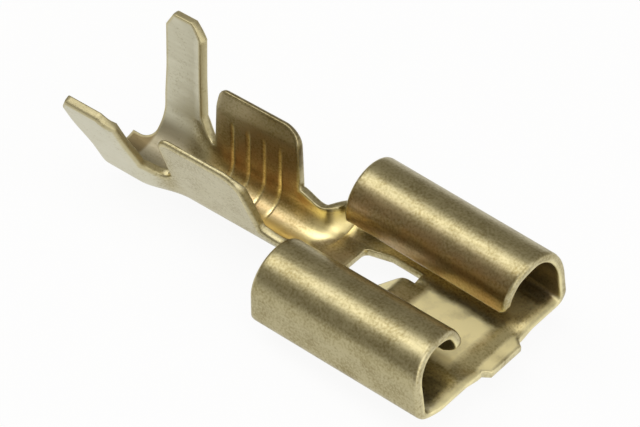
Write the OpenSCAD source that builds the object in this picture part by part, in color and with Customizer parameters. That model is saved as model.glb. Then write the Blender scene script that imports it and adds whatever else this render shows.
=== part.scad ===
// Quick disconnect terminal: one brass strip, blanked and folded.
// A flat floor carries two rolls that grip a blade tab.  Behind it a trough-shaped neck
// leads to a serrated wire barrel, an insulation barrel and the stub of the carrier strip.
// X points out of the mouth, Z points up from the floor, sizes are in millimetres.
// The origin is the middle of the tab's way in, level with the floor's front edge.

/* [Sheet] */
// Thickness of the brass strip
sheet_t = 0.36; // [0.3:0.02:0.4]

/* [Mating tab] */
// Width of the blade tab
tab_w = 6.3; // [6.0:0.1:6.4]
// Thickness of the blade tab
tab_t = 0.8; // [0.7:0.05:0.85]
// Room left over the tab under the rolled edges
tab_play = 0.02; // [0:0.01:0.1]

/* [Receptacle] */
// Length of the floor from its front edge to the rear ends of the rolls
box_l = 7.3; // [6.8:0.1:8.2]
// Height of the rolls over the underside of the floor
box_h = 2.74; // [2.6:0.02:3.2]
// Outside radius of the rolls
roll_r = 1.4; // [1.3:0.02:1.5]
// Outside radius of the fold between floor and wall
corner_r = 0.52; // [0.46:0.02:0.6]
// Room between the tab's side and the foot of the fold
side_play = 0.18; // [0.1:0.02:0.3]
// How far the walls stand back from the floor's front edge where the rolls begin
wall_rake = 0.12; // [0:0.02:0.2]
// How far the rolls' tops stand back from the floor's front edge
rim_rake = 0.38; // [0.22:0.02:0.5]
// How far the rolled edges stand back from the floor's front edge
rim_setback = 0.46; // [0.2:0.02:0.6]

/* [Lead-in lip] */
// Width of the lip where it leaves the floor
lip_w = 2.1; // [1.6:0.1:2.4]
// Width of the lip at its front edge
lip_front_w = 1.5; // [1.0:0.1:1.6]
// How far the lip reaches past the floor's front edge
lip_reach = 0.38; // [0.2:0.02:0.5]
// How far the lip lies below the floor
lip_drop = 0.16; // [0.06:0.02:0.22]
// Length of the slope from the floor down to the lip
ramp_l = 0.64; // [0.4:0.02:0.9]
// How far the lip sits to the left of the centre line, seen from the rear
lip_shift = 0.22; // [0:0.02:0.3]

/* [Window and lance] */
// From the floor's front edge to the root of the lance
lance_x = 4.1; // [3.6:0.1:4.2]
// Width of the lance at its root
lance_w = 1.8; // [1.4:0.1:1.9]
// Width of the lance at its free end
lance_tip_w = 1.1; // [0.8:0.1:1.3]
// Length of the lance with its full width
lance_full_l = 0.7; // [0.5:0.1:0.9]
// Length of the straight, sloping part of the lance
lance_l = 1.28; // [1.0:0.02:1.4]
// Slope of the lance below the floor, in degrees
lance_a = 42; // [20:1:46]
// Inside radius of the bend in the lance
lance_bend_r = 0.25; // [0.15:0.05:0.35]
// Length of the lance's root that stays level
lance_flat = 0.2; // [0.1:0.05:0.3]
// Width of the slot that was punched round the lance
slot_w = 0.52; // [0.4:0.02:0.6]
// Radius in the rear corners of the window
window_r = 0.4; // [0.2:0.05:0.5]

/* [Neck] */
// Length from the rolls to the wire wings
neck_l = 1.8; // [1.6:0.1:2.6]
// Half width of the strip where the neck meets the floor, measured along the sheet
neck_s = 2.8; // [2.4:0.1:3.0]
// Share of the neck's length over which the floor rolls up to a round
neck_form = 0.7; // [0.65:0.05:1]
// How far the edges of the neck and of the step between the barrels lie below the wings' feet
edge_drop = 0.06; // [0.04:0.02:0.2]
// Twist of the crimp end about the long axis, in degrees
barrel_twist = 11; // [0:1:14]
// How far the blank lies off centre at the crimp end, which sets the wings' heights apart
blank_shift = 0.15; // [0:0.05:0.3]

/* [Wire barrel] */
// Outside radius of the round part
wire_r = 1.22; // [1.1:0.02:1.3]
// Length of the wings at their foot
wire_l = 4.0; // [3.6:0.1:4.6]
// Height of the straight part of the wings
wire_wing = 2.85; // [2.4:0.05:3.2]
// Outward lean of the wings, in degrees
wire_lean = 11; // [4:1:16]
// How far each wing's ends draw in from foot to top
wire_draft = 0.26; // [0.1:0.02:0.4]
// Radius of the wing's upper corners
wire_corner_r = 0.5; // [0.3:0.05:0.7]
// Number of grooves pressed across the inside
groove_n = 4; // [3:1:5]
// Distance from groove to groove
groove_pitch = 0.74; // [0.6:0.02:0.76]
// Width of a groove
groove_w = 0.22; // [0.14:0.02:0.3]
// Depth of a groove
groove_d = 0.08; // [0.04:0.01:0.12]
// Height of the grooves on the straight part of the wings
groove_h = 1.9; // [1.0:0.1:2.1]

/* [Insulation barrel] */
// Gap between the feet of the two pairs of wings
barrel_gap = 0.9; // [0.8:0.1:1.4]
// Outside radius of the round part
insul_r = 1.77; // [1.6:0.02:1.9]
// How far the round part lies below the wire barrel
insul_drop = 0.4; // [0.2:0.02:0.5]
// Length of the wings at their foot
insul_l = 1.9; // [1.6:0.1:2.4]
// Height of the straight part of the wings
insul_wing = 4.4; // [3.8:0.05:4.8]
// Outward lean of the wings, in degrees
insul_lean = 13; // [4:1:16]
// How far each wing's ends draw in from foot to top
insul_draft = 0.16; // [0.04:0.02:0.24]
// Width of the slanted corners at the wing's tip
tip_cut_w = 0.4; // [0.2:0.05:0.5]
// Height of the slanted corners at the wing's tip
tip_cut_h = 0.5; // [0.3:0.05:0.7]

/* [Carrier stub] */
// Length of the stub left by the carrier strip
stub_l = 0.85; // [0.6:0.05:1.5]
// Width of the stub
stub_w = 1.1; // [0.8:0.1:1.4]
// Radius between the stub and the insulation barrel
stub_r = 0.5; // [0.3:0.05:0.6]

/* [Hidden] */
$fn = 96;
// Overlap used where a cut has to pass right through
cut = 0.5;
// Overall width over the rolls
box_w = tab_w + 2 * side_play + 2 * corner_r;
// Height of the roll's centre over the underside of the floor
roll_z = box_h - roll_r;
// Gap between floor and rolled edges
tab_gap = tab_t + tab_play;
// Turn of the roll past level, so that its edge stops over the tab
roll_end_a = asin((roll_z - sheet_t - tab_gap) / roll_r);
// Flat length of the lance, which the window follows at slot width
lance_flat_l = lance_flat + (lance_bend_r + sheet_t / 2) * lance_a * PI / 180 + lance_l;
window_l = lance_flat_l + slot_w;
window_front_w = lance_w + 2 * slot_w;
window_rear_w = lance_tip_w + 2 * slot_w;
// The window keeps its full width as far as the lance does, and a slot further
window_full_l = lance_full_l + slot_w;
// Places along the part, measured back from the floor's front edge
wire_x0 = -box_l - neck_l;
wire_x1 = wire_x0 - wire_l;
insul_x0 = wire_x1 - barrel_gap;
insul_x1 = insul_x0 - insul_l;
stub_x1 = insul_x1 - stub_l;
// Heights of the two barrels' centres
wire_z = wire_r;
insul_z = insul_r - insul_drop;
// Radii of the middle of the sheet
wire_m = wire_r - sheet_t / 2;
insul_m = insul_r - sheet_t / 2;
// Turn of the round parts from their lowest line to the foot of the wings
wire_turn = 90 - wire_lean;
insul_turn = 90 - insul_lean;
// Height of the line the crimp end is twisted about
twist_z = 0.53;
// Steps of the formed transitions along and across the part
form_nx = 10;
form_ns = 11;
// Points round the bend of the lance, and one more at its end
lance_n = 9;
// Thickness of the sheet where it is drawn thinner by forming
form_t = sheet_t - 0.03;
// How far each face and end of a wing stands in from the round part it grows out of
wing_in = 0.01;
// Length by which a wing or a groove on it laps into the round part
wing_lap = 0.1;
// Length by which a formed transition laps into the sheet at its ends
form_lap = 0.12;
// Share of its length at which a formed transition's outermost rows lie
form_end = 0.02;

// Smooth step from 0 to 1 with level ends
function ease(e) = e * e * (3 - 2 * e);

// Point of the middle of the sheet at length s from the centre line, in a section with
// curvature k that turns up by no more than a degrees and whose lowest line is at z0
function section(s, k, a, z0) =
    let (b = abs(s), f = min(b * k * 180 / PI, a), c = max(k, 1e-6))
    let (y = sin(f) / c, z = (1 - cos(f)) / c, rest = b - f * PI / 180 / c)
    [sign(s) * (y + rest * cos(f)), z0 + z + rest * sin(f)];

// Turn of a section point about the line of twist
function turned(p, a) =
    [p[0] * cos(a) - (p[1] - twist_z) * sin(a),
     twist_z + p[0] * sin(a) + (p[1] - twist_z) * cos(a)];

// Middle of the neck: e runs from the floor (0) to the wire barrel (1)
function neck_mid(e, s) =
    let (k = ease(max(0, min(1, e / neck_form))) / wire_m)
    let (p = section(s, k, wire_turn, sheet_t / 2))
    let (q = turned(p, barrel_twist * ease(max(0, min(1, e)))))
    [-box_l - neck_l * e, q[0], q[1]];

// Edge of the neck, which leaves the floor in a rounded sweep
function neck_edge(e) =
    let (s1 = wire_m * wire_turn * PI / 180 - edge_drop, d = 1 - max(0, min(1, e)))
    s1 + (neck_s - s1) * (1 - sqrt(1 - d * d * d));

// Middle of the step between the barrels: e runs from the wire (0) to the insulation (1)
function step_mid(e, s) =
    let (q = ease(max(0, min(1, e))))
    let (k = 1 / wire_m + (1 / insul_m - 1 / wire_m) * q)
    let (a = wire_turn + (insul_turn - wire_turn) * q)
    let (p = turned(section(s, k, a, sheet_t / 2 - insul_drop * q), barrel_twist))
    [wire_x1 - barrel_gap * e, p[0], p[1]];

function step_edge(e) =
    let (q = ease(max(0, min(1, e))))
    let (k = 1 / wire_m + (1 / insul_m - 1 / wire_m) * q)
    (wire_turn + (insul_turn - wire_turn) * q) * PI / 180 / k - edge_drop;

function unit(v) = v / norm(v);

// Closed skin over a grid of points on top and below, row by row
module skin(top, low) {
    nr = len(top);
    nc = len(top[0]);
    m = nr * nc;
    pts = concat([for (r = top) for (p = r) p], [for (r = low) for (p = r) p]);
    up = [for (i = [0 : nr - 2]) for (j = [0 : nc - 2]) for (t = [0, 1])
        let (a = i * nc + j)
        t == 0 ? [a, a + nc + 1, a + 1] : [a, a + nc, a + nc + 1]];
    down = [for (f = up) [f[2] + m, f[1] + m, f[0] + m]];
    rim = concat([for (j = [0 : nc - 1]) j],
        [for (i = [1 : nr - 1]) i * nc + nc - 1],
        [for (j = [1 : nc - 1]) nr * nc - 1 - j],
        [for (i = [1 : nr - 2]) (nr - 1 - i) * nc]);
    nl = len(rim);
    side = [for (i = [0 : nl - 1]) for (t = [0, 1])
        let (a = rim[i], b = rim[(i + 1) % nl])
        t == 0 ? [a, b, a + m] : [b, b + m, a + m]];
    polyhedron(pts, concat(up, down, side), convexity = 6);
}

// Ring sector about the origin of a drawing, from angle a0 to angle a1
module ring_sector(r0, r1, a0, a1) {
    steps = 6;
    intersection() {
        difference() {
            circle(r1);
            circle(r0);
        }
        polygon(concat([[0, 0]], [for (i = [0 : steps])
            let (a = a0 + (a1 - a0) * i / steps)
            2 * r1 * [cos(a), sin(a)]]));
    }
}

// Outline with every corner rounded by its own radius, walked anticlockwise
function rounded(pts, radii) =
    [for (i = [0 : len(pts) - 1])
        let (n = len(pts), p = pts[i], r = radii[i])
        let (u = unit(pts[(i + n - 1) % n] - p), v = unit(pts[(i + 1) % n] - p))
        let (half = acos(u * v) / 2, steps = r > 0 ? 6 : 0)
        let (c = r > 0 ? p + unit(u + v) * r / sin(half) : p)
        let (a = r > 0 ? p + u * r / tan(half) - c : [0, 0])
        for (k = [0 : steps])
            let (t = steps > 0 ? (180 - 2 * half) * k / steps : 0)
            c + [a[0] * cos(t) - a[1] * sin(t), a[0] * sin(t) + a[1] * cos(t)]];

// Drawing in Y and Z carried along X from x0 to x1
module along_x(x0, x1) {
    translate([x0, 0, 0])
        rotate([90, 0, 90])
            linear_extrude(x1 - x0)
                children();
}

// Drawing in X and Z carried along Y from y0 to y1
module along_y(y0, y1) {
    translate([0, y1, 0])
        rotate([90, 0, 0])
            linear_extrude(y1 - y0)
                children();
}

// Both barrels, twisted about the long axis
module twisted() {
    translate([0, 0, twist_z])
        rotate([barrel_twist, 0, 0])
            translate([0, 0, -twist_z])
                children();
}

// Drawing in X and height, stood on one foot of a barrel with its faces at two radii;
// side 1 is the left foot seen from the rear, side -1 the right one
module on_foot(side, z, lean, r0, r1) {
    mirror([0, side < 0 ? 1 : 0, 0])
        translate([0, 0, z])
            rotate([-lean, 0, 0])
                along_y(r0, r1)
                    children();
}

// One half of the receptacle's section: fold, wall and roll
module roll_section() {
    translate([box_w / 2 - corner_r, corner_r])
        ring_sector(corner_r - sheet_t, corner_r, -90, 0);
    translate([box_w / 2 - sheet_t, corner_r])
        square([sheet_t, roll_z - corner_r]);
    translate([box_w / 2 - roll_r, roll_z])
        ring_sector(roll_r - sheet_t, roll_r, 0, 180 + roll_end_a);
}

module box_section() {
    translate([-box_w / 2 + corner_r, 0])
        square([box_w - 2 * corner_r, sheet_t]);
    for (m = [0, 1])
        mirror([m, 0])
            roll_section();
}

// Side view of the rake that is trimmed off the front of the walls and rolls
module rake_plan() {
    polygon([[cut, corner_r], [0, corner_r], [-wall_rake, roll_z],
        [-rim_rake, box_h - sheet_t], [-rim_rake, box_h + cut], [cut, box_h + cut]]);
}

// Plan of what is trimmed off the front of the rolls' inner halves
module rim_plan() {
    top = box_w / 2 - roll_r;
    edge = top - roll_r;
    polygon([[cut, -top], [cut, top], [-rim_rake, top], [-rim_setback, edge],
        [-rim_setback, -edge], [-rim_rake, -top]]);
}

// Plan of the window punched in the floor
module window_plan() {
    x0 = -lance_x;
    x1 = x0 - window_full_l;
    x2 = x0 - window_l;
    f = window_front_w / 2;
    b = window_rear_w / 2;
    polygon(rounded([[x0, -f], [x0, f], [x1, f], [x2, b], [x2, -b], [x1, -f]],
        [0, 0, window_r, window_r, window_r, window_r]));
}

// One face of the lance in side view: round the bend at radius r, then straight to the end
function lance_face(x, r, steps) =
    let (tip = -lance_l * [cos(lance_a), sin(lance_a)])
    [for (i = steps)
        let (a = 90 + lance_a * min(i, lance_n - 1) / (lance_n - 1))
        [x, -lance_bend_r] + r * [cos(a), sin(a)] + (i == lance_n ? tip : [0, 0])];

// Lance bent down out of the window, rooted towards the mouth
module lance() {
    bend_x = -lance_x - lance_flat;
    full_x = -lance_x - lance_full_l;
    tip_x = -lance_x - lance_flat_l;
    intersection() {
        along_y(-lance_w / 2, lance_w / 2)
            polygon(concat([[-lance_x, 0], [-lance_x, sheet_t]],
                lance_face(bend_x, lance_bend_r + sheet_t, [0 : lance_n]),
                lance_face(bend_x, lance_bend_r, [lance_n : -1 : 0])));
        translate([0, 0, -lance_l - lance_bend_r])
            linear_extrude(lance_l + lance_bend_r + 2 * sheet_t)
                polygon([[-lance_x, -lance_w / 2], [-lance_x, lance_w / 2],
                    [full_x, lance_w / 2], [tip_x, lance_tip_w / 2],
                    [tip_x, -lance_tip_w / 2], [full_x, -lance_w / 2]]);
    }
}

// Slope and lip that lead the tab in over the floor's front edge
module lip() {
    intersection() {
        along_y(-lip_w / 2, lip_w / 2)
            polygon([[-ramp_l, 0], [0, -lip_drop], [lip_reach, -lip_drop],
                [lip_reach, sheet_t - lip_drop], [0, sheet_t - lip_drop], [-ramp_l, sheet_t]]);
        translate([0, 0, -lip_drop])
            linear_extrude(sheet_t + lip_drop)
                polygon([[-ramp_l, -lip_w / 2], [0, -lip_w / 2], [lip_reach, -lip_front_w / 2],
                    [lip_reach, lip_front_w / 2], [0, lip_w / 2], [-ramp_l, lip_w / 2]]);
    }
}

// Floor, walls and rolls with the window, the lance and the lip
module receptacle() {
    difference() {
        along_x(-box_l, 0)
            box_section();
        along_y(-box_w, box_w)
            rake_plan();
        translate([0, 0, sheet_t + tab_t / 2])
            linear_extrude(box_h)
                rim_plan();
        translate([0, 0, -cut])
            linear_extrude(sheet_t + cut + tab_t / 2)
                window_plan();
        translate([-ramp_l, lip_shift - lip_w / 2, -cut])
            cube([ramp_l + cut, lip_w, cut + sheet_t + tab_t / 2]);
    }
    lance();
    translate([0, lip_shift, 0])
        lip();
}

// Formed sheet of the given length, with the middle surface mid(e, s) and edges at edge(e);
// its ends lap into the neighbouring sheet, and it is given its thickness along its normals
module formed(length, edge, mid) {
    h = 1e-3;
    lap = form_lap / length;
    steps = [for (i = [1 : form_nx - 1]) i / form_nx];
    es = concat([-lap, form_end], steps, [1 - form_end, 1 + lap]);
    grid = [for (e = es) [for (j = [-form_ns : form_ns]) [e, edge(e) * j / form_ns]]];
    up = [for (row = grid) [for (p = row)
        unit(cross(mid(p[0] - h, p[1]) - mid(p[0] + h, p[1]),
            mid(p[0], p[1] + h) - mid(p[0], p[1] - h))) * form_t / 2]];
    rows = [0 : len(es) - 1];
    places = [0 : 2 * form_ns];
    skin([for (i = rows) [for (j = places) mid(grid[i][j][0], grid[i][j][1]) + up[i][j]]],
        [for (i = rows) [for (j = places) mid(grid[i][j][0], grid[i][j][1]) - up[i][j]]]);
}

// Neck: the section rolls up from the flat floor to the wire barrel's round while its edge
// draws in from the floor's width
module neck() {
    formed(neck_l, function (e) neck_edge(e), function (e, s) neck_mid(e, s));
}

// Step from the wire barrel's round down and out to the insulation barrel's
module barrel_step() {
    formed(barrel_gap, function (e) step_edge(e), function (e, s) step_mid(e, s));
}

// Grooves pressed across the inside of the wire barrel to bite on the strands
module grooves() {
    r = wire_r - sheet_t;
    mid_x = (wire_x0 + wire_x1) / 2;
    for (i = [0 : groove_n - 1]) {
        x = mid_x + (i - (groove_n - 1) / 2) * groove_pitch - groove_w / 2;
        translate([0, 0, wire_z])
            along_x(x, x + groove_w)
                ring_sector(r - groove_d, r + groove_d, -90 - wire_turn, -90 + wire_turn);
        for (side = [1, -1])
            on_foot(side, wire_z, wire_lean, r - groove_d, r + groove_d - wing_in)
                translate([x, -wing_lap])
                    square([groove_w, groove_h + wing_lap]);
    }
}

// Outline of a wire wing of height h, with its foot lapping into the round part
module wire_wing_plan(h) {
    x0 = wire_x0 - wing_in;
    x1 = wire_x1 + wing_in;
    polygon(rounded([[x1, -wing_lap], [x0, -wing_lap], [x0 - wire_draft, h], [x1 + wire_draft, h]],
        [0, 0, wire_corner_r, wire_corner_r]));
}

module wire_barrel() {
    difference() {
        union() {
            translate([0, 0, wire_z])
                along_x(wire_x1, wire_x0)
                    ring_sector(wire_r - sheet_t, wire_r, -90 - wire_turn, -90 + wire_turn);
            for (side = [1, -1])
                on_foot(side, wire_z, wire_lean, wire_r - sheet_t + wing_in, wire_r - wing_in)
                    wire_wing_plan(wire_wing - side * blank_shift);
        }
        grooves();
    }
}

// Plan of the insulation barrel's round part and the stub, with the corners between rounded
module insul_plan() {
    w = stub_w / 2;
    translate([insul_x1, -insul_r])
        square([insul_l, 2 * insul_r]);
    translate([0, -blank_shift]) {
        translate([stub_x1, -w])
            square([stub_l + insul_l, stub_w]);
        difference() {
            translate([insul_x1 - stub_r, -w - stub_r])
                square([2 * stub_r, stub_w + 2 * stub_r]);
            for (m = [-1, 1])
                translate([insul_x1 - stub_r, m * (w + stub_r)])
                    circle(stub_r);
        }
    }
}

// Outline of an insulation wing of height h, with its foot lapping into the round part
module insul_wing_plan(h) {
    x0 = insul_x0 - wing_in;
    x1 = insul_x1 + wing_in;
    polygon([[x1, -wing_lap], [x0, -wing_lap],
        [x0 - insul_draft, h - tip_cut_h], [x0 - insul_draft - tip_cut_w, h],
        [x1 + insul_draft + tip_cut_w, h], [x1 + insul_draft, h - tip_cut_h]]);
}

module insulation_barrel() {
    r = insul_r - sheet_t;
    intersection() {
        translate([0, 0, insul_z])
            along_x(stub_x1, insul_x0)
                ring_sector(r, insul_r, -90 - insul_turn, -90 + insul_turn);
        translate([0, 0, -insul_r])
            linear_extrude(3 * insul_r)
                insul_plan();
    }
    for (side = [1, -1])
        on_foot(side, insul_z, insul_lean, r + wing_in, insul_r - wing_in)
            insul_wing_plan(insul_wing - side * blank_shift);
}

module terminal() {
    color([0.78, 0.66, 0.36])
        translate([0, 0, -sheet_t - tab_gap / 2]) {
            receptacle();
            neck();
            twisted() {
                wire_barrel();
                insulation_barrel();
            }
            barrel_step();
        }
}

terminal();
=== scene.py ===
"""Quick disconnect terminal for a flat blade tab, dressed over its CAD part.

The sheet is worked out in millimetres on the flat blank, folded, and put into the mesh in metres.
On the blank, x runs along the strip and out of the mouth, and s across it, positive on the far side.
"""
import bpy
import numpy as np
from mathutils import Matrix, Vector


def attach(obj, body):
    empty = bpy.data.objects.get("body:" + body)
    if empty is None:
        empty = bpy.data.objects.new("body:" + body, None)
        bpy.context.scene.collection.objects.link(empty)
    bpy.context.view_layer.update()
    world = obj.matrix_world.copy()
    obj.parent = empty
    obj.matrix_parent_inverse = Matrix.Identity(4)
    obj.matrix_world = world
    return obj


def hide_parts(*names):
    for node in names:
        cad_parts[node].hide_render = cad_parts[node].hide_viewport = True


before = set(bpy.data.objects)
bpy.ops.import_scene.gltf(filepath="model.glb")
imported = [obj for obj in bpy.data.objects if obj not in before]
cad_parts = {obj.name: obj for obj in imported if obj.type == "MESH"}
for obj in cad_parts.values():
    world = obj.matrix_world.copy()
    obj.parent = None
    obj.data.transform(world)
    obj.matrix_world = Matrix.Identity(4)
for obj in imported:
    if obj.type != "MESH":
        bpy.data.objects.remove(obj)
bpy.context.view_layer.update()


# Terminal: one strip of half-hard brass, blanked, serrated and folded in a progressive die.
# The receptacle's long edges are rolled over to grip a blade tab, and behind it the strip is
# drawn up into a neck and two open barrels whose wings are later crimped over the wire.
MM = 0.001
sheet = 0.36
half = sheet / 2

# The receptacle: flat floor, quarter-turn fold, wall and roll on each side
box_l = 7.3
floor_half = 3.33
fold_m = 0.34
wall_h = 0.82
roll_m = 1.22
roll_turn = np.radians(197)
tab_gap = 0.82
fold_len = fold_m * np.pi / 2
wall_foot = floor_half + fold_len
roll_foot = wall_foot + wall_h
roll_edge = roll_foot + roll_m * roll_turn
floor_front, near_back, roll_rear, rear_sag = 0.17, 0.2, 0.1, 0.22

# Its mouths: how far the front leans back by the wall's top, the roll's top and the inner flank,
# how far it comes forward again, at which turns of the roll, and the cut corners, far and near
wall_rake, rim_rake, rim_setback, rim_back = 0.12, 0.38, 0.62, 0.2
setback_turn, back_turn = np.radians((90, 202.5)), np.radians((132, 192))
corner_x, corner_s = (0.3, 0.8), (0.35, 0.6)

# The lip that leads the tab in, pressed a little below the floor
lip_root, lip_front, lip_reach = 1.05, 0.75, 0.43
lip_drop, ramp_l, lip_shift, lip_blend = 0.16, 0.64, 0.22, 0.8

# The lance that locks the terminal in its housing, and the window it is bent out of
lance_x, lance_flat, lance_slope = 4.1, 0.2, 1.28
lance_a, lance_m = np.radians(42), 0.25 + half
lance_root, lance_tip, lance_full = 0.9, 0.66, 0.7
dip_x, dip_l, root_dip = 3.45, 0.55, 0.07
slot_w, slot_side = 0.6, 0.38
lance_l = lance_flat + lance_m * lance_a + lance_slope
window_side, window_rear, window_r = lance_root + slot_side, 0.95, 0.4
window_x1, window_x2 = -lance_x - lance_full - slot_w, -lance_x - lance_l - slot_w

# The neck, banked up beside its root, and the crimp end, twisted and tilted a little by forming
neck_l, neck_half, neck_form, neck_dip, neck_rise = 1.8, 3.1, 0.45, 0.3, 0.08
bank_h, bank_s, bank_w, bank_x, bank_l = 0.42, 1.0, 1.3, 6.0, 1.0
twist, twist_z, barrel_tilt = np.radians(11), 0.53, 0.07

# The wire barrel; drafts and corners are those of a wing's rear and front end
wire_m, wire_turn, wire_l, wire_wing = 1.22 - half, np.radians(79), 4.0, 3.05
wire_draft, near_wire_draft, wire_corner = (0.16, 0.1), (0.0, 0.3), (0.32, 0.8)
near_turn, blank_shift = np.radians(4.5), 0.15
wire_x0 = -box_l - neck_l
wire_x1 = wire_x0 - wire_l
wire_foot = wire_m * wire_turn

# The step between the barrels; its dip is given for the far and the near side
barrel_gap, step_ease, insul_drop = 0.9, 0.5, 0.05
edge_rise, near_rise, step_dip = 0.32, 0.75, (0.28, 0.35)

# The insulation barrel; drafts and tips are those of a wing's rear and front end
insul_m, insul_turn, insul_l, insul_wing = 1.77 - half, np.radians(77), 1.9, 4.24
insul_draft, near_draft, draft_h = (0.08, 0.06), (-0.3, 0.1), 1.9
tip_w, tip_h, tip_shift = (0.3, 0.43), 0.5, -0.04
near_rear, rear_blend = 0.3, 0.8
insul_x0 = wire_x1 - barrel_gap
insul_x1 = insul_x0 - insul_l
insul_foot = insul_m * insul_turn
stub_l, stub_half, stub_r = 0.85, 0.55, 0.5

# Sheared edges: rolled over by the die on the outer face and nearly sharp on the inner one;
# the grids stop short of every edge by the wider round, and the rim adds it back
edge_r, burr_r = 0.14, 0.05
corner_gap = 1.2 * edge_r


def ease(e):
    """Smooth step: 3 e^2 - 2 e^3, with e held between 0 and 1."""
    e = np.clip(e, 0, 1)
    return e * e * (3 - 2 * e)


def fade(value, out, full):
    """Smooth step that is 0 where the value is at out and 1 where it is at full."""
    return ease((value - out) / (full - out))


def lip_share(s):
    """Share of the lip's drop: full on the lip, eased out beside it."""
    return fade(np.abs(s - lip_shift), lip_root + lip_blend, lip_root)


def lance_dip(x, s):
    """The floor is drawn down towards the lance's root, eased along and across."""
    along = fade(x, -dip_x, -dip_x - dip_l)
    return root_dip * along * fade(np.abs(s), window_side, lance_root)


def before_neck(x):
    """1 along the receptacle, eased to 0 over the first part of the neck."""
    return fade(x, -box_l - neck_l * neck_form, -box_l)


def neck_bank(x, s):
    """The floor is drawn up on both sides of the neck's root and level again under the rolls."""
    b = np.abs(s)
    across = fade(b, bank_s, bank_s + bank_w) * fade(b, floor_half, bank_s + bank_w)
    return bank_h * across * fade(x, -bank_x, -bank_x - bank_l) * before_neck(x)


def near_sag(x, s):
    """The near side sinks evenly towards its rear and is level again over the neck."""
    across = fade(-s, window_side, floor_half)
    return rear_sag * across * np.clip(-x / box_l, 0, 1) * before_neck(x)


def fold_receptacle(x, s):
    """The length |s| across the blank is spent on the floor, the quarter turn, the wall and the
    roll, in that order.  The lip sinks along an eased slope that fades out beside it."""
    b = np.abs(s)
    turn = np.clip(b - floor_half, 0, fold_len) / fold_m
    rise = np.clip(b - wall_foot, 0, wall_h)
    roll = np.maximum(b - roll_foot, 0) / roll_m
    y = np.minimum(b, floor_half) + fold_m * np.sin(turn) + roll_m * (np.cos(roll) - 1)
    z = half + fold_m * (1 - np.cos(turn)) + rise + roll_m * np.sin(roll)
    z = z - lip_drop * fade(x, -ramp_l, 0) * lip_share(s)
    z = z - lance_dip(x, s) * (x > window_x1)
    return x, np.sign(s) * y, z + neck_bank(x, s) - near_sag(x, s)


def fold_lance(x, s):
    """The length back from the root is spent on a level root, a bend and a straight slope."""
    run = -lance_x - x
    bend = np.clip(run - lance_flat, 0, lance_m * lance_a) / lance_m
    rest = np.maximum(run - lance_flat - lance_m * lance_a, 0)
    back = np.minimum(run, lance_flat) + lance_m * np.sin(bend) + rest * np.cos(bend)
    drop = lance_m * (1 - np.cos(bend)) + rest * np.sin(bend) + lance_dip(x, 0 * s)
    return -lance_x - back, s, half - drop


# Curvature that stands for flat, so that lengths can be divided by it
least_k = 1e-9


def fold_barrels(x, s):
    """A section of curvature k that bends up through angle a and goes on straight; k grows over
    the neck, eases to the wider round over the step, and the whole is turned by the twist."""
    e = (-box_l - x) / neck_l
    q = fade(x, wire_x1 + step_ease, insul_x0 - step_ease)
    k = ease(e / neck_form) * ((1 - q) / wire_m + q / insul_m) + least_k
    a = wire_turn + (insul_turn - wire_turn) * q + near_turn * (s < 0) * (1 - q)
    b = np.abs(s)
    f = np.minimum(b * k, a)
    rest = b - f / k
    y = np.sign(s) * (np.sin(f) / k + rest * np.cos(f))
    z = half - insul_drop * q + (1 - np.cos(f)) / k + rest * np.sin(f) - twist_z
    z = z + neck_bank(x, s) - near_sag(x, s)
    z = z + neck_rise * ease(e) - barrel_tilt * np.maximum(wire_x0 - x, 0)
    t = twist * ease(e)
    return x, y * np.cos(t) - z * np.sin(t), twist_z + y * np.sin(t) + z * np.cos(t)


folds = (fold_receptacle, fold_lance, fold_barrels)
RECEPTACLE, LANCE, BARRELS = range(3)


def fold(part, x, s):
    """Each place of the blank goes through the fold of the part that it belongs to."""
    out = np.zeros(x.shape + (3,))
    for i, f in enumerate(folds):
        here = part == i
        out[here] = np.stack(f(x[here], s[here]), axis=-1)
    return out


def front(s):
    """Front outline of walls and rolls: it leans back up the wall, further with the sine of the
    roll's turn to its top, further still down the inner flank, and forward to the rolled edge,
    whose corner is cut back with the square of the way to the edge."""
    b = np.abs(s)
    a = np.maximum(b - roll_foot, 0) / roll_m
    top = rim_rake - wall_rake
    flank = (rim_setback - rim_rake) * fade(a, *setback_turn) - rim_back * fade(a, *back_turn)
    over = np.where(a < np.pi / 2, top * np.sin(a), top + flank)
    lean = wall_rake * np.clip((b - wall_foot) / wall_h, 0, 1)
    off_edge = fade(b, roll_edge, roll_edge - roll_m)
    back = near_back * fade(-s, wall_foot - 2 * fold_len, wall_foot) * off_edge
    cut_x, cut_s = np.where(s > 0, *corner_x), np.where(s > 0, *corner_s)
    corner = cut_x * np.clip((b - roll_edge) / cut_s + 1, 0, 1) ** 2
    return floor_front * off_edge - edge_r - lean - over - back - corner


def window_end(s):
    """Rear outline of the window: a slanted side, a quarter round and a straight rear edge."""
    b = np.abs(s) - edge_r
    du, dv = window_x1 - window_x2, window_side - window_rear
    flank = np.arctan2(dv, du)
    reach = window_r * np.tan((np.pi / 2 - flank) / 2)
    mid_b, mid_x = window_rear - reach, window_x2 + window_r
    arc = mid_x - np.sqrt(np.maximum(window_r ** 2 - (b - mid_b) ** 2, 0))
    slant = window_x2 + (b - window_rear) * du / dv
    touch = window_rear + reach * np.sin(flank)
    return np.where(b < mid_b, window_x2, np.where(b < touch, arc, slant)) - edge_r


def neck_edge(e):
    """Edge of the neck, which leaves the rolls' rear ends in a rounded sweep and dips midway."""
    s1 = wire_foot + edge_rise
    dip = neck_dip * np.sin(np.pi * e) ** 2
    return s1 + (neck_half - s1) * (1 - np.sqrt(1 - (1 - e) ** 3)) - dip - edge_r


def step_edge(e, side):
    """Edge of the step between the barrels, a little way up the wings, with a dip midway."""
    q = ease(e)
    turn = wire_turn + (insul_turn - wire_turn) * q
    dip = 4 * np.where(side > 0, *step_dip) * e * (1 - e)
    return turn / ((1 - q) / wire_m + q / insul_m) + edge_rise - dip - edge_r


# Places closer than this are taken as equal
tol = 1e-6


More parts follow.
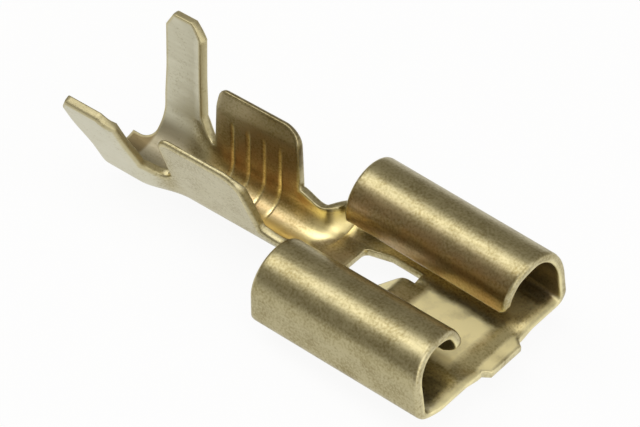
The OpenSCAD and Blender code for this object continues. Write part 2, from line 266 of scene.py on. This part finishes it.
def lines(breaks, step):
    """Every gap between breaks is split evenly into parts no longer than step, but the gap next
    to an inner corner stays whole, so that the rim has room to turn there."""
    gaps = []
    for a, b in zip(breaks[:-1], breaks[1:]):
        parts = 1 if b - a < corner_gap + tol else int(np.ceil((b - a) / step - tol))
        gaps.append(np.linspace(a, b, parts + 1))
    return np.unique(np.concatenate(gaps).round(9))


grids = []


def lay(part, x, s):
    """Lays one patch of the blank as a grid of places along it and across it."""
    x, s = np.broadcast_arrays(x, s)
    grids.append((part, x, s))


# Lines along the strip, as shares of the half width: the neck, the barrels and the floor behind
# the window share them, with breaks where the window and the stub begin
neck_s, wire_s, insul_s = neck_edge(0), neck_edge(1), step_edge(1, 1)
rear, hole = -box_l + edge_r, window_side + edge_r
stub_root = stub_half + stub_r
share = lines((-1, -(stub_root + blank_shift) / (insul_s + near_rise), -hole / neck_s,
               (stub_root - blank_shift) / insul_s, hole / neck_s, 1), step=0.03)

# Floor in front of the window, with the lip, then the lance
coin_l = 0.45
lip_x, root_x = floor_front - edge_r, -lance_x + edge_r
along = np.unique(np.concatenate((
    lines((rear, window_x1, root_x, -ramp_l), step=0.2), lines((-ramp_l, -coin_l), step=0.06),
    lines((-coin_l, lip_x), step=0.03))))
lip_s, lance_s = lip_root - edge_r, lance_root - edge_r
lip_lo, lip_hi = lip_shift - lip_s, lip_shift + lip_s
across = lines((-hole, corner_gap - hole, -lance_s - corner_gap, -lance_s,
                lance_s, lance_s + corner_gap, hole - corner_gap, hole), step=0.09)
at_mouth = np.interp(across, (-hole, -lance_s - corner_gap, -lance_s,
                              lance_s, lance_s + corner_gap, hole),
                     (-hole, lip_lo - corner_gap, lip_lo, lip_hi, lip_hi + corner_gap, hole))


def to_ends(x, s):
    """Lines along the receptacle: straight at the window, drawn to the front outline, and at the
    rear to the rolls' ends, which stand out a little behind the floor."""
    front_draw = (front(s) - lip_x) * np.clip((x - root_x) / (lip_x - root_x), 0, 1)
    rear_draw = roll_rear * fade(np.abs(s), neck_s, wall_foot)
    return x + front_draw - rear_draw * np.clip((window_x1 - x) / (window_x1 - rear), 0, 1)


to_lip = along[along >= root_x - tol][:, None]
slanted = across + (at_mouth - across) * (to_lip - root_x) / (lip_x - root_x)
lay(RECEPTACLE, to_ends(to_lip, slanted), slanted)
on_lip = at_mouth[(at_mouth >= lip_lo - tol) & (at_mouth <= lip_hi + tol)]
reach = lines((lip_x, lip_x + corner_gap, lip_reach - edge_r), step=0.05)[:, None]
lip_half = lip_s + (lip_front - lip_root) * (reach - lip_x) / (lip_reach - lip_x)
lay(RECEPTACLE, reach, lip_shift + (on_lip - lip_shift) / lip_s * lip_half)
on_root = across[np.abs(across) <= lance_s + tol]
run = lines((-edge_r, corner_gap - edge_r, lance_full, lance_l - edge_r), step=0.07)[:, None]
taper = np.clip((run - lance_full) / (lance_l - lance_full), 0, 1)
lay(LANCE, -lance_x - run, on_root * (1 + (lance_tip - lance_root) / lance_s * taper))

# Floor behind the window, then the walls and rolls
behind = neck_s * share[np.abs(neck_s * share) <= hole + tol]
side_x = window_end(hole)
depth = (along[along <= window_x1 + tol] - rear) / (window_x1 - rear)
lay(RECEPTACLE, rear + depth[:, None] * (window_end(behind) - side_x + window_x1 - rear), behind)
corner_foot = roll_edge - max(corner_s)
up_roll = np.concatenate((lines((neck_s, floor_half), step=0.12)[1:],
                          lines((floor_half, wall_foot, roll_foot), step=0.07)[1:],
                          lines((roll_foot, corner_foot), step=0.1)[1:],
                          lines((corner_foot, roll_edge - edge_r), step=0.05)[1:]))
for side in (1, -1):
    beside = np.sort(side * neck_s * share)
    out = side * np.concatenate((beside[beside >= hole - tol], up_roll))
    lay(RECEPTACLE, to_ends(along[:, None], out), out)

# Neck, wire barrel, step and insulation barrel; rows crowd where the neck leaves the floor
neck_rows = 36
wire_front, wire_rear = wire_x0 - edge_r, wire_x1 + edge_r
insul_front, insul_rear = insul_x0 - edge_r, insul_x1 + edge_r
last = 1 - corner_gap / (rear - wire_front)
e = np.append(np.linspace(0, 1, neck_rows) ** 2 * last, 1)[:, None]
lay(BARRELS, rear + (wire_front - rear) * e, neck_edge(e) * share)
wire_half, wire_mid = (wire_front - wire_rear) / 2, (wire_x0 + wire_x1) / 2
wire_along = lines((-wire_half, wire_half), step=0.055)[:, None]
climb = near_rise * fade(wire_along, wire_half, -wire_half)
lay(BARRELS, wire_mid + wire_along, (wire_s + climb * (share < 0)) * share)
step_gap = corner_gap / (wire_rear - insul_front)
e = lines((0, step_gap, 1 - step_gap, 1), step=step_gap / 2)[:, None]
on_step = (step_edge(e, share) + near_rise * (share < 0)) * share
lay(BARRELS, wire_rear + (insul_front - wire_rear) * e, on_step)
insul_half, insul_mid = (insul_front - insul_rear) / 2, (insul_x0 + insul_x1) / 2
insul_along = lines((-insul_half, insul_half), step=0.08)[:, None]


def insul_x(s):
    """Places along the insulation barrel: its rear edge stands out further on the near wing."""
    out = near_rear * fade(-s - stub_root - blank_shift, 0, rear_blend)
    return insul_mid + insul_along - out * fade(insul_along, 0, -insul_half)


on_barrel = (insul_s + near_rise * (share < 0)) * share
lay(BARRELS, insul_x(on_barrel), on_barrel)

# Wings: rows up the wing draw in at their ends; at a round corner the ends of the rows take the
# lower half of the round, and the upper rows droop towards their ends for the other half
corner_r = np.where(wire_along < 0, *wire_corner) - edge_r
corner_45 = corner_r * (1 - np.sqrt(0.5))
droop_power = 6
for side in (1, -1):
    top = wire_wing - side * blank_shift - edge_r
    foot = wire_s - wire_foot + climb * (side < 0)
    rise = lines((0, corner_gap, 1), step=0.04)
    up = foot + (top - foot) * rise
    bend = rise ** droop_power
    end = up - corner_45 * bend
    round_in = corner_r - np.sqrt(corner_r ** 2 - np.maximum(end - top + corner_r, 0) ** 2)
    draft = np.where(wire_along < 0, *(wire_draft if side > 0 else near_wire_draft))
    inset = draft * np.clip((end - foot) / (top - foot), 0, 1) + round_in
    place = wire_along - inset * np.sign(wire_along) * (wire_along / wire_half) ** 2
    past = np.maximum(np.abs(place) - (wire_half - draft - corner_r), 0)
    droop = corner_r - np.sqrt(np.maximum(corner_r ** 2 - past ** 2, 0))
    lay(BARRELS, wire_mid + place,
        side * (wire_foot + up - np.minimum(droop, corner_45) * bend))
    top = insul_wing - side * tip_shift - edge_r
    foot = insul_s - insul_foot + near_rise * (side < 0)
    up = lines((foot, foot + corner_gap, top - tip_h, top), step=0.14)
    draft = np.where(insul_along < 0, *(insul_draft if side > 0 else near_draft))
    inset = draft * fade(up - foot, 0, draft_h)
    inset = inset + np.where(insul_along < 0, *tip_w) * np.clip((up - top) / tip_h + 1, 0, 1)
    wing_s = side * (insul_foot + up)
    lay(BARRELS, insul_x(wing_s) - insul_along * inset / insul_half, wing_s)

# Stub left where the terminal was cut from its carrier strip
stub_rows = 11
on_stub = on_barrel + blank_shift
on_stub = on_stub[np.abs(on_stub) <= stub_root + tol] / stub_root
fillet = stub_r + edge_r
run = np.concatenate((fillet * (1 - np.cos(np.linspace(0, np.pi / 2, stub_rows))),
                      lines((fillet, stub_l), step=0.12)[1:]))[:, None]
stub_w = stub_root - np.sqrt(fillet ** 2 - np.maximum(fillet - run, 0) ** 2)
lay(BARRELS, insul_rear - run, on_stub * stub_w - blank_shift)

# One flat mesh of the blank: equal places are merged, and all faces look up
merge_gap = 1e-4
part = np.concatenate([np.full(x.size, p) for p, x, s in grids])
flat = np.concatenate([np.stack((x, s), axis=-1).reshape(-1, 2) for p, x, s in grids])
start, quads = 0, []
for p, x, s in grids:
    i = start + np.arange(x.size).reshape(x.shape)
    quads.append(np.stack((i[:-1, :-1], i[1:, :-1], i[1:, 1:], i[:-1, 1:]), axis=-1).reshape(-1, 4))
    start += x.size
first, same = np.unique((flat / merge_gap).round().astype(int), axis=0, return_index=True,
                        return_inverse=True)[1:]
flat, part = flat[first], part[first]
quads = same.reshape(-1)[np.concatenate(quads)]
d1, d2 = flat[quads[:, 2]] - flat[quads[:, 0]], flat[quads[:, 3]] - flat[quads[:, 1]]
turned = d1[:, 0] * d2[:, 1] - d1[:, 1] * d2[:, 0] < 0
quads[turned] = quads[turned][:, ::-1]

# The outline: edges with a face on one side only, and at each place the way out of the sheet
a, b = quads.reshape(-1), np.roll(quads, -1, axis=1).reshape(-1)
n = len(flat)
open_edge = ~np.isin(a * n + b, b * n + a)
a, b = a[open_edge], b[open_edge]
d = flat[b] - flat[a]
outward = np.stack((d[:, 1], -d[:, 0]), axis=-1) / np.linalg.norm(d, axis=1)[:, None]
way_out = np.zeros((n, 2))
np.add.at(way_out, a, outward)
np.add.at(way_out, b, outward)
rim = np.unique(a)
way_out[rim] *= 2 / (way_out[rim] ** 2).sum(axis=1)[:, None]

# Thickness: the floor's front is coined beside the lip, the wire wings are thinned on the inside
# towards their tops, and grooves are pressed across the inside of the wire barrel
coin_d, wing_coin_l, wing_coin_d = 0.12, 0.8, 0.14
groove_n, groove_pitch, groove_w, groove_d = 4, 0.74, 0.17, 0.04
groove_h, groove_fade = 1.9, 0.5

# Step to each side from which the sheet's normal is taken
nudge = 1e-4


def groove(x, s):
    """Share of the groove's depth: full in the middle, with sloping flanks, fading up the wing."""
    at = (x - wire_mid) / groove_pitch + (groove_n - 1) / 2
    off = np.abs(at - np.clip(np.round(at), 0, groove_n - 1)) * groove_pitch
    up = np.abs(s) - wire_foot
    return fade(off, groove_w / 2, groove_w / 4) * fade(up, groove_h, groove_h - groove_fade)


def inner(part, x, s):
    """Half the sheet, less a chamfer that falls with the square of the way to the floor's front
    edge beside the lip, less an eased one to the tops of the wire wings, and less the grooves."""
    floor = fade(np.abs(s), wall_foot, floor_half) * (1 - lip_share(s))
    mouth = np.clip(1 - (front(s) + edge_r - x) / coin_l, 0, 1) ** 2 * floor
    h = half - np.where(part == RECEPTACLE, coin_d * mouth, 0)
    to_top = wire_foot + wire_wing - np.sign(s) * blank_shift - np.abs(s)
    thin = wing_coin_d * fade(to_top, wing_coin_l, 0) * (x > insul_x0 + barrel_gap / 2)
    return h - np.where(part == BARRELS, groove_d * groove(x, s) + thin, 0)


def sheet_point(part, place, height):
    """Folded place, moved along the sheet's own normal by height(inner half, outer half)."""
    x, s = place[:, 0], place[:, 1]
    along = fold(part, x + nudge, s) - fold(part, x - nudge, s)
    across = fold(part, x, s + nudge) - fold(part, x, s - nudge)
    up = np.cross(along, across)
    up /= np.linalg.norm(up, axis=1)[:, None]
    return fold(part, x, s) + height(inner(part, x, s), -half)[:, None] * up


# The sheared edges stand out from the grids by the small rounds where face and edge meet
edge_steps = np.radians((0, 30, 60, 90))
rows = [(edge_r - burr_r * (1 - np.sin(q)), lambda top, low, q=q: top - burr_r * (1 - np.cos(q)))
        for q in edge_steps]
rows += [(edge_r * np.sin(q), lambda top, low, q=q: low + 0 * top + edge_r * (1 - np.cos(q)))
         for q in edge_steps[:0:-1]]
points = [sheet_point(part, flat, lambda top, low: top),
          sheet_point(part, flat, lambda top, low: low + 0 * top)]
points += [sheet_point(part[rim], flat[rim] + d * way_out[rim], h) for d, h in rows]
in_rim = np.zeros(n, dtype=int)
in_rim[rim] = np.arange(len(rim))
chain = [(a, b)] + [(2 * n + k * len(rim) + in_rim[a], 2 * n + k * len(rim) + in_rim[b])
                    for k in range(len(rows))] + [(n + a, n + b)]
edge_quads = [np.stack((b0, a0, a1, b1), axis=-1)
              for (a0, b0), (a1, b1) in zip(chain[:-1], chain[1:])]
faces = np.concatenate([quads, quads[:, ::-1] + n] + edge_quads)
verts = np.concatenate(points) - (0, 0, sheet + tab_gap / 2)
places = [(flat, half), (flat, -half)]
places += [(flat[rim] + d * way_out[rim], h(half, -half)) for d, h in rows]
blank = np.concatenate([np.insert(place, 2, height, axis=1) for place, height in places])
inside = np.concatenate((np.ones(n), np.zeros(n), np.zeros(len(rows) * len(rim))))
cut = np.concatenate((np.zeros(2 * n), np.ones(len(rows) * len(rim))))

# Tones, each a share of the way from the rolls' own colour to another one.  A zone is a pair of
# places on the blank, where the tone is out and where it is full; other pairs are far and near.
neck_x, neck_lean, trough_x = (-7.85, -8.15), 0.7, (wire_x0 + 1.1, wire_x0 + 0.1)
far_s, far_x, top_s, roll_s = (-0.34, 0.36), (-10.0, -10.6), (1.0, 1.5), (2.9, 3.3)
x, s, height = blank.T
b = np.abs(s)
far, outside = s > 0, 1 - inside - cut
most = np.maximum.reduce
neck = fade(x - neck_lean * b, *neck_x)
trough = fade(x, *trough_x)
far_side = most((fade(s, *far_s), fade(x, *far_x)))
on_wire = trough * fade(x, wire_x1 - barrel_gap / 2, wire_x1 + barrel_gap / 2)
up_wing = fade(b, wire_foot, wire_foot + wire_wing)
wing_top = fade(b - wire_foot, *top_s) * on_wire * cut
in_roll = fade(b, *roll_s) * (x > -box_l) * inside

# Painted highlight in a warm tone: the neck beside the trough's painted shade and, more faintly,
# the ramp down to the lip
ramp_soft, ramp_highlight = 0.4, 0.4
ramp = fade(x, -ramp_l - ramp_soft, -ramp_l) * lip_share(s)
warm_highlight = most((neck * (1 - trough * far_side), ramp_highlight * ramp)) * inside

# Painted highlight in a pale tone, on a rougher finish: the flat pad in front of the lance, the
# lance's slope, the lip's top, the front edge of the floor and the mouths' rims, and more faintly
# the far side of the floor
pad_rear, pad_front, pad_half, pad_mid, pad_soft = -3.75, -0.44, 1.45, -0.25, 0.4
slant_x, lip_top_s, lip_top_x = (-0.3, -0.6), (0.05, -0.15), (-0.3, 0.0)
front_x, rim_x, floor_in, floor_out = (-0.2, 0.1), -2.5, (1.6, 2.0), (3.15, 2.65)
lip_highlight, lip_cut_highlight, front_highlight, front_cut_highlight = 0.85, 0.5, 0.85, 0.75
rim_highlight, floor_highlight = 0.7, 0.4
to_side = np.minimum.reduce((pad_half - np.abs(s - pad_mid), x - pad_rear, pad_front - x))
pad = np.clip(to_side / pad_soft, 0, 1)
on_lance = np.concatenate([part, part] + [part[rim]] * len(rows)) == LANCE
slant = on_lance * fade(x + lance_x, *slant_x)
far_floor = fade(s, *floor_in) * fade(s, *floor_out) * (1 - trough)
lip_top = fade(np.abs(s - lip_shift) - lip_root, *lip_top_s) * fade(x, *lip_top_x)
front_edge = fade(x, *front_x) * fade(b, wall_foot, floor_half) * (1 - lip_top)
to_inner = fade(height, edge_r - half, half - burr_r)
rims = to_inner * (x > rim_x) * fade(b, floor_half, wall_foot) * cut
pale_highlight = most((pad * inside, slant * inside, floor_highlight * far_floor * inside, rim_highlight * rims,
               lip_top * (lip_highlight * inside + lip_cut_highlight * cut),
               front_edge * (front_highlight * inside + front_cut_highlight * cut)))

# Painted shade in brown: the trough of the wire barrel, fading up its wings, the floor behind the
# window, and the far roll's inner flank, its inside and the floor under it
window_soft, strip_s, flank_s = 0.3, (1.6, 1.1), (2.4, 3.2)
under_in, under_out, under_x = (1.5, 2.0), (3.2, 2.7), (-4.6, -3.8)
up_brown, window_brown, flank_brown, under_brown, roll_brown = 0.5, 0.5, 0.9, 0.3, 0.6
in_trough = on_wire * far_side * (1 - up_brown * up_wing)
behind_window = fade(x - window_x2, window_soft, -window_soft) * fade(b, *strip_s) * (1 - neck)
roll_flank = fade(s - roll_foot, *flank_s) * outside
under_roll = fade(s, *under_in) * fade(s, *under_out) * fade(x, *under_x)
brown_shade = most((in_trough * inside, window_brown * behind_window * inside,
                under_brown * under_roll * inside, roll_brown * in_roll * far,
                flank_brown * roll_flank))

# Painted light and reflection in a pale tone: behind the wire barrel, later so in the trough, up
# the wire wings, on the near wing's outside, and faintly inside the rolls
late, near_s = 0.81, (0.6, 1.2)
near_pale, wing_pale, roll_pale = 0.4, (0.4, 1.0), (0.2, 0.3)
behind_wire = fade(x + late * inside * (b < insul_foot), wire_x1, insul_x0)
near_face = near_pale * on_wire * fade(-s, *near_s) * (1 - inside)
pale_painted_light = most((behind_wire, near_face, np.where(far, *wing_pale) * trough * up_wing * inside,
             np.where(far, *roll_pale) * in_roll))

# Painted shade in a dark tone: the carrier stub, the trough before it, and the cut edge along the
# far wing's top, where the cut tone is also taken back
stub_soft, stub_side, end_s = 0.3, 0.08, (1.8, 1.0)
end_dark, top_dark, top_cut = 0.6, 0.6, 0.8
stub = fade(x - insul_x1, stub_soft, 0) * fade(b - stub_root, 0, -stub_side)
trough_end = fade(x, wire_x1, insul_x0) * fade(b, *end_s) * inside
dark_shade = most((stub, end_dark * trough_end, top_dark * wing_top * far))

# Painted highlight in a bright tone: the grooves, the far side of the trough, the wings' upper
# parts, the near wing's top edge, and the floor beside the pad, further back on the far side
side_mid, side_w, beside_soft, beside_end = 0.6, 0.7, 0.3, (3.1, 2.5)
beside_s, beside_x, beside_l = (1.15, 1.6), (-6.2, -1.8), 0.8
side_bright, wing_bright, beside_bright, top_bright = 0.5, (0.05, 0.3), (1.0, 0.7), 0.8
trough_side = side_bright * fade(np.abs(s - side_mid), side_w, 0) * on_wire
beside_pad = fade(b - np.where(far, *beside_s), 0, beside_soft) * fade(b, *beside_end)
beside_pad = beside_pad * fade(x - np.where(far, *beside_x), 0, beside_l)
bright_highlight = most((groove(x, s), trough_side, np.where(far, *wing_bright) * on_wire * up_wing,
               np.where(far, *beside_bright) * beside_pad)) * inside
bright_highlight = most((bright_highlight, top_bright * wing_top * (s < 0)))
tones = {"warm_highlight": warm_highlight, "brown_shade": brown_shade, "pale_painted_light": pale_painted_light, "pale_highlight": pale_highlight, "bright_highlight": bright_highlight,
         "dark_shade": dark_shade, "cut": cut * (1 - top_cut * wing_top * far)}

mesh = bpy.data.meshes.new("terminal_sheet")
mesh.vertices.add(len(verts))
mesh.vertices.foreach_set("co", (verts * MM).ravel())
mesh.loops.add(faces.size)
mesh.loops.foreach_set("vertex_index", faces.ravel())
mesh.polygons.add(len(faces))
mesh.polygons.foreach_set("loop_start", np.arange(len(faces)) * 4)
mesh.polygons.foreach_set("use_smooth", np.ones(len(faces), dtype=bool))
mesh.attributes.new("blank", 'FLOAT_VECTOR', 'POINT').data.foreach_set("vector", blank.ravel())
for name, value in tones.items():
    mesh.attributes.new(name, 'FLOAT', 'POINT').data.foreach_set("value", value)
mesh.update(calc_edges=True)
mesh.validate()
terminal = bpy.data.objects.new("terminal_sheet", mesh)
bpy.context.collection.objects.link(terminal)
terminal.modifiers.new("even shading", 'WEIGHTED_NORMAL')


def linear(code):
    """sRGB hex colour as linear RGBA: c / 12.92 below 0.04045, else ((c + 0.055) / 1.055)^2.4."""
    c = np.array([int(code[i:i + 2], 16) for i in (1, 3, 5)]) / 255
    return (*np.where(c <= 0.04045, c / 12.92, ((c + 0.055) / 1.055) ** 2.4), 1.0)


def put(tree, kind, inputs, **settings):
    """Adds a node with its settings; an input gets a value or a link from another socket."""
    new = tree.nodes.new("ShaderNode" + kind)
    for name, value in settings.items():
        setattr(new, name, value)
    for name, value in inputs.items():
        if isinstance(value, bpy.types.NodeSocket):
            tree.links.new(value, new.inputs[name])
        else:
            new.inputs[name].default_value = value
    return new


# Rolled brass strip, satin from the rolls and a little tarnished: the eye gets a soft gold sheen
# with a fine grain drawn out along the strip, olive where it is dull, and brighter sheared edges.
# Painted highlights are laid in as pale and warm tones, and painted shade in brown and dark tones.
# Real rolling marks are some hundredths of a millimetre wide: streaks and grain are drawn coarser,
# so that they show.
# Lengths are in millimetres, and a pair named from holds the values between which a change grows.
# The third colour, near white, is a painted highlight.  Of the tones below, all but the cut tone
# paint light or shade: the warm, pale and bright tones paint highlights and reflection, and the
# brown and dark tones paint shade.
strip_colour, dim_colour, highlight_colour = linear("#B7AD86"), linear("#D2CCBA"), linear("#FDF3C2")
tone_colours = {"warm_highlight": "#F2E3A8", "brown_shade": "#A5875C", "pale_painted_light": "#D4D0B9",
                "bright_highlight": "#FFF0B8", "dark_shade": "#857655", "cut": "#C6BC95"}
streak_l, streak_w, cloud_w, grain_w, relief_h = 2 / 3, 1 / 9, 5 / 7, 1 / 11, 0.004
cloud_share, tarnish_from, evened = 0.4, (0.36, 0.57), 0.6
mottle_from, least_mottle, highlight_from = (0.38, 0.6), 0.6, (0.75, 1.5)
streak_from, streak_dull, pale_dull, highlight_dull = (0.3, 0.7), (0.3, 0.42), 0.14, 0.62
brass = bpy.data.materials.new("rolled brass strip")
brass.use_nodes = True
tree = brass.node_tree
tree.nodes.clear()
place = put(tree, "Attribute", {}, attribute_name="blank").outputs["Vector"]
share_of = {name: put(tree, "Attribute", {}, attribute_name=name).outputs["Fac"]
            for name in tones}
streak_way = put(tree, "Mapping", {
    "Vector": place, "Scale": (1 / streak_l, 1 / streak_w, 1 / streak_w)}).outputs["Vector"]
streaks = put(tree, "TexNoise", {"Vector": streak_way, "Scale": 1.0, "Detail": 4.0}).outputs["Fac"]
clouds = put(tree, "TexNoise", {"Vector": place, "Scale": 1 / cloud_w, "Detail": 5.0}).outputs["Fac"]
grain = put(tree, "TexNoise", {"Vector": place, "Scale": 1 / grain_w, "Detail": 2.0}).outputs["Fac"]
speckle = put(tree, "Mix", {"Factor": cloud_share, "A": grain, "B": clouds}).outputs["Result"]
tarnish = put(tree, "MapRange", {"Value": speckle, "From Min": tarnish_from[0],
                                 "From Max": tarnish_from[1]}).outputs["Result"]
# The brown painted shade is mottled by the clouds.
mottled_shade = put(tree, "MapRange", {"Value": clouds, "From Min": mottle_from[0],
                                 "From Max": mottle_from[1], "To Min": least_mottle})
mottled_shade = put(tree, "Math", {0: share_of["brown_shade"], 1: mottled_shade.outputs["Result"]},
              operation='MULTIPLY')
share_of["brown_shade"] = mottled_shade.outputs["Value"]
colour = strip_colour
for name, code in tone_colours.items():
    colour = put(tree, "Mix", {"Factor": share_of[name], "A": colour, "B": linear(code)},
                 data_type='RGBA').outputs["Result"]
dimmed = put(tree, "Mix", {"Factor": 1.0, "A": colour, "B": dim_colour}, data_type='RGBA',
             blend_type='MULTIPLY').outputs["Result"]
even = put(tree, "Math", {0: share_of["pale_painted_light"], 1: share_of["warm_highlight"]}, operation='MAXIMUM')
even = put(tree, "Math", {0: even.outputs["Value"], 1: evened, 2: tarnish},
           operation='MULTIPLY_ADD', use_clamp=True)
colour = put(tree, "Mix", {"Factor": even.outputs["Value"], "A": dimmed, "B": colour},
             data_type='RGBA').outputs["Result"]
# Painted highlight: where the pale highlight tone lies, with the clouds added, the colour goes
# towards a near white and the surface gets rougher.
highlight_share = put(tree, "Math", {0: share_of["pale_highlight"], 1: clouds}, operation='ADD')
highlight_share = put(tree, "MapRange", {"Value": highlight_share.outputs["Value"], "From Min": highlight_from[0],
                              "From Max": highlight_from[1]}).outputs["Result"]
colour = put(tree, "Mix", {"Factor": highlight_share, "A": colour, "B": highlight_colour},
             data_type='RGBA').outputs["Result"]
dull = put(tree, "MapRange", {"Value": streaks, "From Min": streak_from[0],
                              "From Max": streak_from[1], "To Min": streak_dull[0],
                              "To Max": streak_dull[1]})
dull = put(tree, "Math", {0: share_of["pale_painted_light"], 1: pale_dull, 2: dull.outputs["Result"]},
           operation='MULTIPLY_ADD')
dull = put(tree, "Mix", {"Factor": highlight_share, "A": dull.outputs["Value"], "B": highlight_dull})
relief = put(tree, "Math", {0: streaks, 1: grain}, operation='ADD')
bump = put(tree, "Bump", {"Height": relief.outputs["Value"], "Strength": 0.25,
                          "Distance": relief_h * MM})
shader = put(tree, "BsdfPrincipled", {
    "Base Color": colour, "Metallic": 1.0,
    "Roughness": dull.outputs["Result"], "Normal": bump.outputs["Normal"]})
put(tree, "OutputMaterial", {"Surface": shader.outputs["BSDF"]})
mesh.materials.append(brass)

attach(terminal, "root")
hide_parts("terminal")


# Floor: a sheet of white card under the terminal, which lies on the lance's end and on the
# round of the insulation barrel, so the card is laid through those two.
card_half = 900.0
card_glow = 0.92
high = verts[:, 2].max()
low_front = verts[np.argmin(np.where(verts[:, 0] > -box_l, verts[:, 2], high))]
low_rear = verts[np.argmin(np.where(verts[:, 0] < insul_x0, verts[:, 2], high))]
slope = (low_front[2] - low_rear[2]) / (low_front[0] - low_rear[0])
corner = np.array([(-1, -1), (1, -1), (1, 1), (-1, 1)]) * card_half
card_z = low_front[2] + slope * (corner[:, 0] - low_front[0])
card = bpy.data.meshes.new("card")
card.from_pydata((np.column_stack((corner, card_z)) * MM).tolist(), [], [(0, 1, 2, 3)])

# Matt white card, pressed smooth: the eye gets an even white with the terminal's soft shadow
card_paper = bpy.data.materials.new("matt white card")
card_paper.use_nodes = True
tree = card_paper.node_tree
tree.nodes.clear()
paper = put(tree, "BsdfPrincipled", {"Base Color": linear("#F6F6F6"), "Roughness": 0.9,
                                     "Specular IOR Level": 0.1})
glow = put(tree, "Emission", {"Color": (1.0, 1.0, 1.0, 1.0), "Strength": 1.0})
path = put(tree, "LightPath", {}).outputs
seen = put(tree, "Math", {0: path["Is Camera Ray"], 1: path["Is Glossy Ray"]}, operation='ADD')
seen = put(tree, "Math", {0: seen.outputs[0], 1: path["Is Transmission Ray"]}, operation='ADD')
share_lit = put(tree, "Math", {0: seen.outputs[0], 1: card_glow}, operation='MULTIPLY')
lit = put(tree, "MixShader", {0: share_lit.outputs[0], 1: paper.outputs["BSDF"],
                              2: glow.outputs["Emission"]})
put(tree, "OutputMaterial", {"Surface": lit.outputs["Shader"]})
card.materials.append(card_paper)
floor = bpy.data.objects.new("floor", card)
bpy.context.collection.objects.link(floor)


# Light: a soft box overhead and behind, whose streak runs along the rolls, a broad one in front
# that lifts the floor and the mouths, and a dim grey room that leaves the dark bands.
room_light = (0.31, 0.29, 0.25, 1.0)
room = bpy.data.worlds.new("room")
room.use_nodes = True
room.node_tree.nodes["Background"].inputs["Color"].default_value = room_light
bpy.context.scene.world = room
aim = Vector((-7 * MM, 0, 0))


def soft_box(name, way, distance, width, height, glow):
    """A lamp at the given distance along way, turned to the part with its width along it, and
    a glow of 1 shows as white."""
    data = bpy.data.lights.new(name, 'AREA')
    data.shape = 'RECTANGLE'
    data.size, data.size_y = width, height
    data.energy = glow * np.pi * width * height
    lamp = bpy.data.objects.new(name, data)
    back = Vector(way).normalized()
    side = Vector((0, 1, 0)).cross(back).normalized()
    turn = Matrix((side, back.cross(side), back)).transposed().to_4x4()
    lamp.matrix_world = Matrix.Translation(aim + back * distance) @ turn
    bpy.context.collection.objects.link(lamp)


soft_box("overhead soft box", way=(-0.2, -0.16, 0.95), distance=0.5, width=0.8, height=0.3, glow=2.2)
soft_box("front soft box", way=(0.9, -0.1, 0.4), distance=0.6, width=0.6, height=0.6, glow=1.5)


# Camera: looks down on the mouth from the right at 45 degrees, from a hand's breadth away
# with a long lens, as in the photograph.
camera_at = (44.75, -60.95, 80.99)
azimuth, elevation = np.radians(40.64), np.radians(44.79)
data = bpy.data.cameras.new("camera")
data.sensor_width = 36.0
data.lens = 187.5
data.clip_start, data.clip_end = 0.005, 10.0
camera = bpy.data.objects.new("camera", data)
right = Vector((np.cos(azimuth), np.sin(azimuth), 0))
back = Vector((np.sin(azimuth) * np.cos(elevation), -np.cos(azimuth) * np.cos(elevation),
               np.sin(elevation)))
turn = Matrix((right, back.cross(right), back)).transposed().to_4x4()
camera.matrix_world = Matrix.Translation(Vector(camera_at) * MM) @ turn
bpy.context.collection.objects.link(camera)
bpy.context.scene.camera = camera
bpy.context.scene.view_settings.view_transform = 'Standard'
